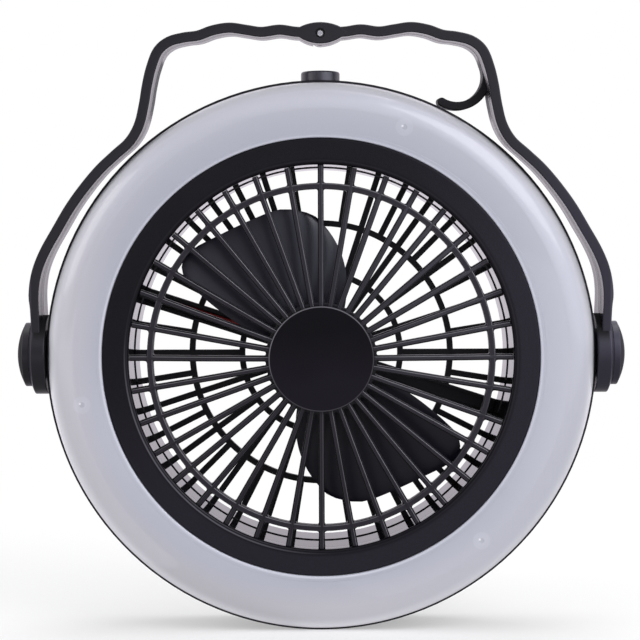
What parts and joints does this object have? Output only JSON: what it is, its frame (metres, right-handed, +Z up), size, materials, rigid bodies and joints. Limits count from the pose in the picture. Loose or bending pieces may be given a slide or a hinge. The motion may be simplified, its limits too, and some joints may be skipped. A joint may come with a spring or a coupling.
{
  "type": "portable camping fan",
  "caption": "Round battery fan with ribbed front grille, frosted ring light, tilting wavy U handle and a swing-out hanger hook.",
  "frame": {"origin": "bottom centre of the bounding box, level with the rubber feet", "axes": "+Z up, +X from the left pivot to the right pivot, the air leaves towards -Y and the fan's axis is along Y"},
  "size_m": [0.2608, 0.0564, 0.2586],
  "materials": {
    "black_shell": "fine satin grain",
    "black_handle": "satin",
    "black_button": "smooth satin",
    "black_rotor": "satin",
    "black_inner": "matt",
    "frosted_diffuser": "frosted, translucent",
    "white_plastic": "matt white reflector",
    "white_board": "white solder mask",
    "led_package": "phosphor yellow",
    "ivory_plastic": "natural",
    "washer_plastic": "natural acetal",
    "green_board": "green solder mask",
    "cell_sleeve": null,
    "red_lead": "insulation",
    "black_lead": "insulation",
    "rubber": "matt",
    "steel": "plated",
    "brass_clip": "plain"
  },
  "bodies": {
    "housing": {"rear_housing": "black_shell", "rear_grille": "black_shell", "front_bezel": "black_shell", "front_grille": "black_shell", "hub_cap": "black_shell", "diffuser": "frosted_diffuser", "light_tray": "white_plastic", "led_board": "white_board", "leds": "led_package", "motor_bush": "brass_clip", "motor_can": "steel", "motor_end_cap": "ivory_plastic", "motor_retainer": "black_rotor", "motor_screws": "steel", "lead_red": "red_lead", "lead_black": "black_lead", "battery_cells": "cell_sleeve", "battery_cradles": "black_inner", "control_board": "green_board", "board_screws": "steel", "button_switch": "black_inner", "charge_socket": "steel", "housing_screws": "steel", "diffuser_screws": "steel", "grille_screws": "steel", "rubber_feet": "rubber", "pivot_screws": "steel", "friction_washers": "washer_plastic"},
    "fan": {"rotor": "black_rotor", "rotor_clip": "brass_clip", "motor_shaft": "steel"},
    "carry_handle": {"handle": "black_handle", "left_pivot_cap": "black_handle", "right_pivot_cap": "black_handle", "hook_retainer": "steel", "hook_screw": "steel"},
    "hanger_hook": {"hook": "black_handle"},
    "button": {"button_cap": "black_button", "switch_plunger": "ivory_plastic"}
  },
  "joints": [
    {"name": "fan_spin", "type": "hinge", "parent": "housing", "child": "fan", "pos_m": [0, -0.007, 0.1171], "axis": [0, 1, 0], "continuous": true},
    {"name": "handle_tilt", "type": "hinge", "parent": "housing", "child": "carry_handle", "pos_m": [0, 0.00295, 0.1178], "axis": [1, 0, 0], "range_deg": [-180, 180]},
    {"name": "hook_swing", "type": "hinge", "parent": "carry_handle", "child": "hanger_hook", "pos_m": [0, 0.0016, 0.25373], "axis": [0, -0.9985, -0.0541], "range_deg": [0, 110]},
    {"name": "button_press", "type": "slide", "parent": "housing", "child": "button", "axis": [0, 0, -1], "range_m": [0, 0.0012], "stiffness_N_per_m": 800, "springref_m": -0.0015}
  ]
}
